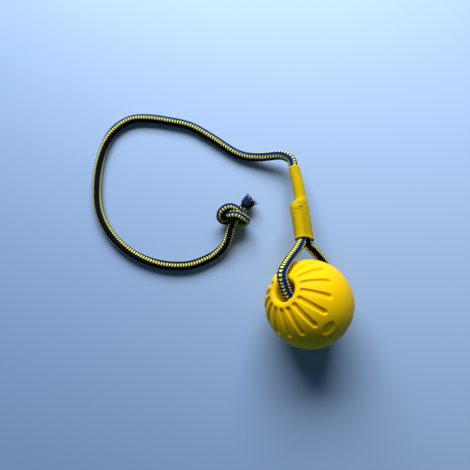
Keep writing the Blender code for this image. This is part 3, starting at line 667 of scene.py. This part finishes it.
def make_winding():
    """The seizing thread under the film: one winding of two twisted yarns."""
    ring = []
    for side, middle in ((PAIR_SPREAD, 0), (0, pi)):
        for k in range(THREAD_BEND_POINTS):
            angle = middle - pi / 2 + pi * k / (THREAD_BEND_POINTS - 1)
            ring.append((side + THREAD_RIDE * cos(angle), THREAD_RIDE * sin(angle)))
    points = []
    for k in range(THREAD_TURNS * len(ring) + 1):
        x, y = ring[k % len(ring)]
        points.append((x, y, THREAD_START + THREAD_PITCH * k / len(ring)))
    fine = even_route(points, THREAD_SPACING)
    seat = np.array(sleeve_frame())
    centres = fine @ seat[:3, :3].T + seat[:3, 3]
    around = 4 * pi * np.arange(THREAD_COLUMNS) / THREAD_COLUMNS
    twist = np.arange(len(centres))[:, None] * THREAD_TWIST + around[None, :]
    radii = np.full(len(centres), THREAD_DIAMETER / 2)
    places = tube_places(centres, radii, np.zeros(len(centres)), THREAD_COLUMNS,
                         THREAD_TWIST_DEPTH * (0.5 - 0.5 * np.cos(twist)))
    return mesh_object("thread_winding", laid_grid(places, 1, len(centres) / 4, True))


def tail_frame(knot):
    """The knot's far end, with z along the cut end."""
    out = Vector(knot[-1] - knot[-2]).normalized()
    level = out.cross(Vector((0, 0, 1))).normalized()
    return axes_matrix(Vector(knot[-1]), level, out.cross(level), out)


def make_strands(seat):
    """The core's loose strands, which splay out of the cut end."""
    rng = np.random.default_rng(7)
    shape = bmesh.new()
    layer = shape.loops.layers.uv.new("UVMap")
    for k in range(STRAND_COUNT):
        ring = sqrt((k + 0.5) / STRAND_COUNT)
        turn = k * GOLDEN_TURN + rng.normal(0, STRAND_PLACE_WANDER)
        start = Vector((cos(turn), sin(turn), 0)) * ring * CORE_DIAMETER * STRAND_SPREAD
        start.z = TAIL_LENGTH - STRAND_ROOT
        lean = Vector((cos(turn + rng.normal(0, STRAND_LEAN_WANDER)),
                       sin(turn + rng.normal(0, STRAND_LEAN_WANDER)), 0))
        length = STRAND_LENGTH + STRAND_SINK + rng.normal(0, STRAND_LENGTH_WANDER)
        splay = ring * rng.uniform(*STRAND_SPLAY)
        thick = rng.uniform(*STRAND_RADII)
        before = len(shape.verts)
        bmesh.ops.create_cone(shape, cap_ends=True, segments=STRAND_SIDES, radius1=thick,
                              radius2=thick * STRAND_TIP_SHARE, depth=1,
                              matrix=Matrix.Translation((0, 0, 0.5)))
        shape.verts.ensure_lookup_table()
        edges = {edge for v in shape.verts[before:] for edge in v.link_edges}
        sides = [edge for edge in edges if abs(edge.verts[0].co.z - edge.verts[1].co.z) > 0.5]
        bmesh.ops.subdivide_edges(shape, edges=sides, cuts=STRAND_CUTS)
        shape.verts.ensure_lookup_table()
        tint = rng.uniform(0, 1)
        for v in shape.verts[before:]:
            share = v.co.z
            bend = lean * (splay * length * share ** STRAND_CURVE)
            v.co = start + Vector((v.co.x, v.co.y, length * share)) + bend
        for face in {f for v in shape.verts[before:] for f in v.link_faces}:
            for loop in face.loops:
                loop[layer].uv = (tint, 0.5)
    bmesh.ops.transform(shape, matrix=seat, verts=shape.verts)
    bmesh.ops.recalc_face_normals(shape, faces=shape.faces)
    return mesh_object("core_strands", shape)


class Level:
    """A shader value. A sum written on it adds its nodes to the finish."""

    def __init__(self, finish, socket):
        self.finish = finish
        self.socket = socket

    def sum(self, operation, first, second):
        return self.finish.node("ShaderNodeMath", {"operation": operation}, {0: first, 1: second})

    def __add__(self, other):
        return self.sum("ADD", self, other)

    __radd__ = __add__

    def __sub__(self, other):
        return self.sum("SUBTRACT", self, other)

    def __rsub__(self, other):
        return self.sum("SUBTRACT", other, self)

    def __mul__(self, other):
        return self.sum("MULTIPLY", self, other)

    __rmul__ = __mul__

    def __truediv__(self, other):
        return self.sum("DIVIDE", self, other)


class Finish:
    """One material, its shader and the nodes that feed it."""

    def __init__(self, name, roughness, **constants):
        self.material = bpy.data.materials.new(name)
        self.material.use_nodes = True
        self.tree = self.material.node_tree
        self.shader = self.tree.nodes["Principled BSDF"]
        self.feed("Roughness", roughness)
        for socket, value in constants.items():
            self.feed(socket.replace("_", " "), value)

    def feed(self, socket, value):
        if isinstance(value, Level):
            self.tree.links.new(value.socket, self.shader.inputs[socket])
        else:
            self.shader.inputs[socket].default_value = value

    def node(self, kind, settings=None, inputs=None, output=0):
        """Adds a node with its settings, then its inputs' values or links."""
        node = self.tree.nodes.new(kind)
        for name, value in (settings or {}).items():
            if name == "stops":
                ramp = node.color_ramp
                while len(ramp.elements) < len(value):
                    ramp.elements.new(0.5)
                for element, (place, colour) in zip(ramp.elements, value):
                    element.position = place
                    element.color = (*colour, 1.0)
            elif name == "interpolation":
                node.color_ramp.interpolation = value
            else:
                setattr(node, name, value)
        for name, value in (inputs or {}).items():
            if isinstance(value, Level):
                self.tree.links.new(value.socket, node.inputs[name])
            else:
                node.inputs[name].default_value = value
        return Level(self, node.outputs[output])

    def mix(self, share, first, second):
        first = first if isinstance(first, Level) else (*first, 1.0)
        second = second if isinstance(second, Level) else (*second, 1.0)
        return self.node("ShaderNodeMix", {"data_type": "RGBA"}, {0: share, 6: first, 7: second}, 2)

    def place(self):
        return self.node("ShaderNodeTexCoord", output=3)

    def noise(self, vector, scale, detail=3.0):
        return self.node("ShaderNodeTexNoise", {"noise_dimensions": "3D"},
                         {"Vector": vector, "Scale": scale, "Detail": detail})

    def wave(self, value, reach):
        """Rises from nothing to the reach and falls back, over and over."""
        return self.node("ShaderNodeMath", {"operation": "PINGPONG"}, {0: value, 1: reach})

    def eased(self, value, low, high):
        return self.node("ShaderNodeMapRange", {"interpolation_type": "SMOOTHSTEP"},
                         {"Value": value, "From Min": low, "From Max": high})

    def bump(self, height, strength, distance):
        self.feed("Normal", self.node("ShaderNodeBump", inputs={
            "Height": height, "Strength": strength, "Distance": distance}))

    def put_on(self, piece):
        piece.data.materials.clear()
        piece.data.materials.append(self.material)


# The colours of the yarns and of the other finishes
YELLOW_YARN = (0.94, 0.96, 0.23)
# The yellow yarn's painted shade, in the valleys between its stitches
YELLOW_PAINTED_SHADE = (0.020, 0.016, 0.002)
BLUE_YARN = (0.002, 0.031, 0.175)
NAVY_YARN = (0.004, 0.003, 0.028)
BLACK_YARN = (0.004, 0.003, 0.004)
WHITE_YARN = (0.50, 0.54, 0.54)
WORN_YARN = (0.03, 0.035, 0.06)
FOAM_SHADES = (0.88, 0.52, 0.0003), (0.92, 0.59, 0.0005)
# The foam's painted shade, in its grooves, its dimple and beside its seam
FOAM_PAINTED_SHADE = (0.66, 0.26, 0.001)
FILM_SHADES = (0.47, 0.31, 0.0002), (0.59, 0.43, 0.0006)
THREAD_SHADES = (0.50, 0.46, 0.34), (0.68, 0.64, 0.50)
# The table's painted light: its colour near the viewer and its colour towards the window
TABLE_PAINTED_LIGHT = (0.20, 0.325, 0.576), (0.40, 0.558, 0.856)
ROOM_COLOUR = (0.44, 0.62, 0.90)
ROOM_LIGHT = (0.027, 0.066, 0.085)
# How much of the yellow is left on the worn cut end
WORN_END_SHARE = 0.04
# Where each dark stripe starts round the rope, in wales
STRIPES = [(0.0, BLACK_YARN), (1.2, BLUE_YARN), (3.2, BLACK_YARN), (5.6, NAVY_YARN),
           (7.0, BLACK_YARN), (10.2, NAVY_YARN), (11.8, BLACK_YARN), (14.0, NAVY_YARN),
           (14.6, BLACK_YARN)]


def foam_finish():
    finish = Finish("yellow_foam", 0.5, Specular_IOR_Level=0.05)
    place = finish.place()
    cloudy = finish.noise(place, 45.0, 4.0)
    colour = finish.mix(cloudy, *FOAM_SHADES)
    # Painted shade: the grooves, the dimple and the line beside the seam are painted darker and more
    # orange
    hollow = finish.node("ShaderNodeAttribute", {"attribute_name": "hollow"}, output=2)
    colour = finish.mix(hollow * 0.22, colour, FOAM_PAINTED_SHADE)
    finish.feed("Base Color", colour)
    finish.feed("Roughness", 0.44 + 0.14 * finish.noise(place, 260.0))
    skin = finish.node("ShaderNodeTexVoronoi", {"feature": "SMOOTH_F1"},
                       {"Vector": place, "Scale": 1500.0})
    finish.bump(0.7 * skin + 0.5 * finish.noise(place, 600.0), 0.12, 0.0002)
    return finish


def rope_finish(name, bright_share):
    """Striped knit on the rope's own map: u counts wales and v counts stitches. Each yarn has painted
    shade, darker in the valleys between its stitches and towards its wale's edges.
    """
    finish = Finish(name, 0.8, Specular_IOR_Level=0.05)
    along = finish.node("ShaderNodeUVMap", {"uv_map": "UVMap"})
    wale = finish.node("ShaderNodeSeparateXYZ", inputs={0: along})
    stitch = Level(finish, wale.socket.node.outputs[1])
    away = finish.wave(wale - YELLOW_WALES[0], WALE_COUNT / 2)
    for middle in YELLOW_WALES[1:]:
        away = away.sum("MINIMUM", away, finish.wave(wale - middle, WALE_COUNT / 2))
    ring = away.sum("ROUND", away, 0.0)
    within = away.sum("ABSOLUTE", away - ring, 0.0)
    plain = finish.wave(stitch + STITCH_SLANT * within + ring / 2, 0.5) * 2
    proud = finish.wave(stitch + STITCH_SLANT * away, 0.5) * 2
    tooth = finish.eased(0.42 + 0.60 * proud - away, 0.0, 0.14) * bright_share
    # A stitch's height across its wale and along the rope, which also sets its painted shade
    plain = finish.eased(plain, 0.0, 0.7) * (1 - 2.2 * within * within)
    proud = finish.eased(proud, 0.25, 0.85) * (1 - 0.4 * away * away)
    raised = plain.sum("MAXIMUM", plain, proud * tooth)
    stops = [(start / WALE_COUNT, yarn) for start, yarn in STRIPES]
    dark = finish.node("ShaderNodeValToRGB", {"stops": stops, "interpolation": "CONSTANT"},
                       {0: wale / WALE_COUNT})
    worn = finish.noise(finish.place(), 420.0, 3.0)
    # Painted shade: the dark yarns grow darker towards the valleys between stitches, with a random
    # worn tone on top
    shade = 0.22 + 0.95 * plain + 0.25 * (worn - 0.5)
    dark = finish.node("ShaderNodeVectorMath", {"operation": "SCALE"}, {0: dark, "Scale": shade})
    # Painted shade: the yellow runs from near black in its valleys to its full colour on its crests
    finish.feed("Base Color", finish.mix(tooth, dark, finish.mix(proud, YELLOW_PAINTED_SHADE, YELLOW_YARN)))
    finish.feed("Roughness", 0.7 + 0.2 * worn)
    fibres = finish.node("ShaderNodeTexWave", {"wave_type": "BANDS", "bands_direction": "DIAGONAL"},
                         {"Vector": along, "Scale": 3.2, "Distortion": 2.0, "Detail": 2.0})
    finish.bump(0.6 * raised + 0.25 * fibres, 0.35, 0.00018)
    return finish


def film_finish():
    finish = Finish("yellow_film", 0.42, Specular_IOR_Level=0.02)
    place = finish.place()
    cloudy = finish.noise(place, 70.0, 4.0)
    finish.feed("Base Color", finish.mix(cloudy, *FILM_SHADES))
    finish.feed("Roughness", 0.36 + 0.18 * finish.noise(place, 300.0))
    stretched = finish.node("ShaderNodeMapping", inputs={"Vector": place, "Scale": (1.0, 0.18, 1.0)})
    finish.bump(finish.noise(place, 900.0) * 0.5 + finish.noise(stretched, 320.0), 0.18, 0.0002)
    return finish


def thread_finish():
    finish = Finish("waxed_thread", 0.7)
    place = finish.place()
    finish.feed("Base Color", finish.mix(finish.noise(place, 900.0), *THREAD_SHADES))
    finish.bump(finish.noise(place, 2500.0), 0.3, 0.00005)
    return finish


def strand_finish():
    """Loose fibres, mostly dark, whose map's u says which yarn each one is."""
    finish = Finish("loose_fibres", 0.75)
    along = finish.node("ShaderNodeUVMap", {"uv_map": "UVMap"})
    which = finish.node("ShaderNodeSeparateXYZ", inputs={0: along})
    stops = [(0.0, NAVY_YARN), (0.30, BLACK_YARN), (0.50, BLUE_YARN), (0.62, BLACK_YARN),
             (0.76, WHITE_YARN), (0.90, NAVY_YARN)]
    yarn = finish.node("ShaderNodeValToRGB", {"stops": stops, "interpolation": "CONSTANT"}, {0: which})
    worn = finish.noise(finish.place(), 1200.0)
    finish.feed("Base Color", finish.mix(worn * 0.5, yarn, WORN_YARN))
    finish.bump(worn, 0.3, 0.0001)
    return finish


# The table's painted light: its colour grows paler along y and along x times the slant, towards the
# window, and the table ends between two distances
TABLE_SLANT = 1.2
TABLE_PAINTED_LIGHT_SPAN = (-0.62, 0.42)
TABLE_END_SPAN = (0.31, 0.62)
TABLE_REACH = 3
WINDOW_PLACE = (-0.15, 0.88, 0.72)
WINDOW_TARGET = (-0.03, 0.0, 0.0)
WINDOW_SIZE = (1.10, 0.60)
WINDOW_POWER = 23.5
WINDOW_COLOUR = (1.0, 0.98, 0.96)
# The camera that took the photograph, fitted to it, with its angle in pixels of the picture
CAMERA_PLACE = (-0.0584, -0.0527, 0.407)
CAMERA_TILT = radians(10)
PICTURE_HALF = 235
PICTURE_FOCUS = 466


def table_finish():
    """A plain table with painted light, its colour paler away from the viewer towards the window, and
    with the room's colour far off.
    """
    finish = Finish("pale_table", 0.55, Specular_IOR_Level=0.2, Emission_Strength=1.0)
    place = finish.place()
    split = finish.node("ShaderNodeSeparateXYZ", inputs={0: place})
    back = Level(finish, split.socket.node.outputs[1])
    # Painted light: the table's colour grows paler towards the window
    share = finish.eased(back + TABLE_SLANT * split, *TABLE_PAINTED_LIGHT_SPAN)
    colour = finish.mix(share, *TABLE_PAINTED_LIGHT)
    distance = finish.node("ShaderNodeVectorMath", {"operation": "LENGTH"}, {0: place}, 1)
    seen = finish.node("ShaderNodeLightPath", output=0)
    far = finish.eased(distance, *TABLE_END_SPAN) * seen
    finish.feed("Base Color", finish.mix(far, colour, (0, 0, 0)))
    finish.feed("Emission Color", finish.mix(far, (0, 0, 0), ROOM_COLOUR))
    return finish


def add_camera():
    data = bpy.data.cameras.new("view")
    data.angle = 2 * atan(PICTURE_HALF / PICTURE_FOCUS)
    camera = bpy.data.objects.new("view", data)
    camera.location = CAMERA_PLACE
    camera.rotation_euler = (CAMERA_TILT, 0, 0)
    bpy.context.scene.collection.objects.link(camera)
    bpy.context.scene.camera = camera


def add_window():
    data = bpy.data.lights.new("window", "AREA")
    data.shape = "RECTANGLE"
    data.size, data.size_y = WINDOW_SIZE
    data.energy = WINDOW_POWER
    data.color = WINDOW_COLOUR
    light = bpy.data.objects.new("window", data)
    light.location = WINDOW_PLACE
    aim = Vector(WINDOW_TARGET) - Vector(WINDOW_PLACE)
    light.rotation_euler = aim.to_track_quat("-Z", "Y").to_euler()
    bpy.context.scene.collection.objects.link(light)


def add_surroundings():
    """A soft room that looks pale, one window beyond the table, and the table."""
    world = bpy.data.worlds.new("soft_room")
    bpy.context.scene.world = world
    world.use_nodes = True
    tree = world.node_tree
    seen = tree.nodes.new("ShaderNodeMix")
    seen.data_type = "RGBA"
    seen.inputs[6].default_value = (*ROOM_LIGHT, 1.0)
    seen.inputs[7].default_value = (*ROOM_COLOUR, 1.0)
    tree.links.new(tree.nodes.new("ShaderNodeLightPath").outputs["Is Camera Ray"], seen.inputs[0])
    tree.links.new(seen.outputs[2], tree.nodes["Background"].inputs["Color"])
    tree.nodes["Background"].inputs["Strength"].default_value = 1.0
    add_window()
    shape = bmesh.new()
    bmesh.ops.create_grid(shape, x_segments=8, y_segments=8, size=TABLE_REACH)
    table = mesh_object("table", shape, smooth=False)
    table_finish().put_on(table)
    bpy.context.scene.view_settings.view_transform = "Standard"


def dress(piece, body, node, finish):
    """Hangs a piece on its body, hides the model's part that it stands for, and puts the finish on."""
    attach(piece, body)
    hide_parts(node)
    finish.put_on(piece)


def make_ropes(knot):
    """The whole rope: the held loop, the free length, the knot and the cut end."""
    spacing = STITCH_PITCH / STITCH_RINGS
    centres, radii = loop_route(spacing)
    loop, _ = striped_rope("loop_rope", centres, radii, LOOP_STRIPES, 0.0)
    knot_fine = relaxed(even_route(knot, KNOT_STITCH_PITCH / STITCH_RINGS), KNOT_LINE_ROUNDS)
    rough = even_route(lead_points(knot), ROUGH_LEAD_SPACING)
    lead_fine = relaxed(even_route(rough, spacing), LEAD_ROUNDS)
    lead_fine[:, 2] = np.maximum(lead_fine[:, 2], ROPE_RADIUS)
    radii = np.full(len(lead_fine), ROPE_RADIUS)
    lead, stitch = striped_rope("lead_rope", lead_fine, radii, LEAD_STRIPES, 0.0)
    taper = KNOT_TAPER_STEPS * len(knot_fine) / len(knot)
    pressed = np.minimum(1, np.arange(len(knot_fine)) / taper)
    radii = ROPE_RADIUS + (PRESSED_RADIUS + KNOT_FILL - ROPE_RADIUS) * pressed
    knotted, stitch = striped_rope("knot_rope", knot_fine, radii, KNOT_STRIPES, stitch,
                                   KNOT_STITCH_PITCH)
    seat = tail_frame(knot)
    count = int(TAIL_LENGTH / spacing)
    rise = np.linspace(0, TAIL_LENGTH, count)
    out = np.array(seat.col[2][:3])
    centres = np.array(seat.translation)[None, :] + rise[:, None] * out[None, :]
    swell = [PRESSED_RADIUS, TAIL_SWELL_DIAMETER / 2, TAIL_END_DIAMETER / 2]
    radii = np.interp(rise, [0, TAIL_SWELL_HEIGHT, TAIL_LENGTH], swell)
    tail, _ = striped_rope("tail_rope", centres, radii, TAIL_STRIPES, stitch)
    strands = make_strands(seat)
    rope = rope_finish("striped_rope", 1.0)
    worn_end = rope_finish("worn_rope_end", WORN_END_SHARE)
    for piece, node, slot, finish in (
            (loop, "rope_loop", "rope", rope), (lead, "rope_lead", "rope", rope),
            (knotted, "rope_knot", "rope", rope), (tail, "rope_tail", "rope", worn_end),
            (strands, "rope_core", "rope_core", strand_finish())):
        dress(piece, "rope", node, finish)
    length = np.linalg.norm(np.diff(lead_fine, axis=0), axis=1).sum()


add_camera()
make_ropes(knot_points())
add_surroundings()
dress(make_ball(), "ball", "ball", foam_finish())
dress(make_sleeve(), "rope", "binding_sleeve", film_finish())
dress(make_winding(), "rope", "seizing_thread", thread_finish())
